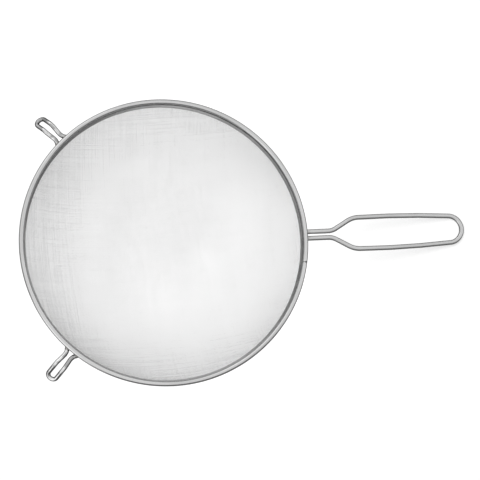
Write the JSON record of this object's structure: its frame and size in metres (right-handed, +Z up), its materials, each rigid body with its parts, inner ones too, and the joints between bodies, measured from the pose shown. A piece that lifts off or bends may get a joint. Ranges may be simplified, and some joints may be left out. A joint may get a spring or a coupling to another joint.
{
  "type": "hand sieve",
  "caption": "Round-bottomed fine wire cloth sieve in a rolled steel rim, with a long bent wire handle and small wire hooks opposite that rest it on a pot.",
  "frame": {"origin": "middle of the footprint of the sieve as it lies on a table on its bowl and its handle's end, at table height", "axes": "+X along the table from the bowl toward the handle's end, +Z up, +Y to the left when looking along +X; the rim leans 18.0 degrees down toward the handle"},
  "size_m": [0.3898, 0.26, 0.1344],
  "materials": {
    "rim_steel": "satin rolled stainless strip",
    "core_wire": "drawn wire, hidden inside the rolled rim",
    "wire_cloth": "plain-woven fine stainless wire cloth",
    "handle_wire": "tumbled satin stainless wire",
    "hook_wire": "polished stainless wire",
    "weld_metal": "dull resistance weld with heat tint"
  },
  "bodies": {
    "root": {"rim_band": "rim_steel", "rim_core_wire": "core_wire", "wire_cloth_bowl": "wire_cloth", "handle_loop": "handle_wire", "rest_hook_left": "hook_wire", "rest_hook_right": "hook_wire", "handle_welds": "weld_metal", "hook_welds": "weld_metal"}
  },
  "joints": []
}
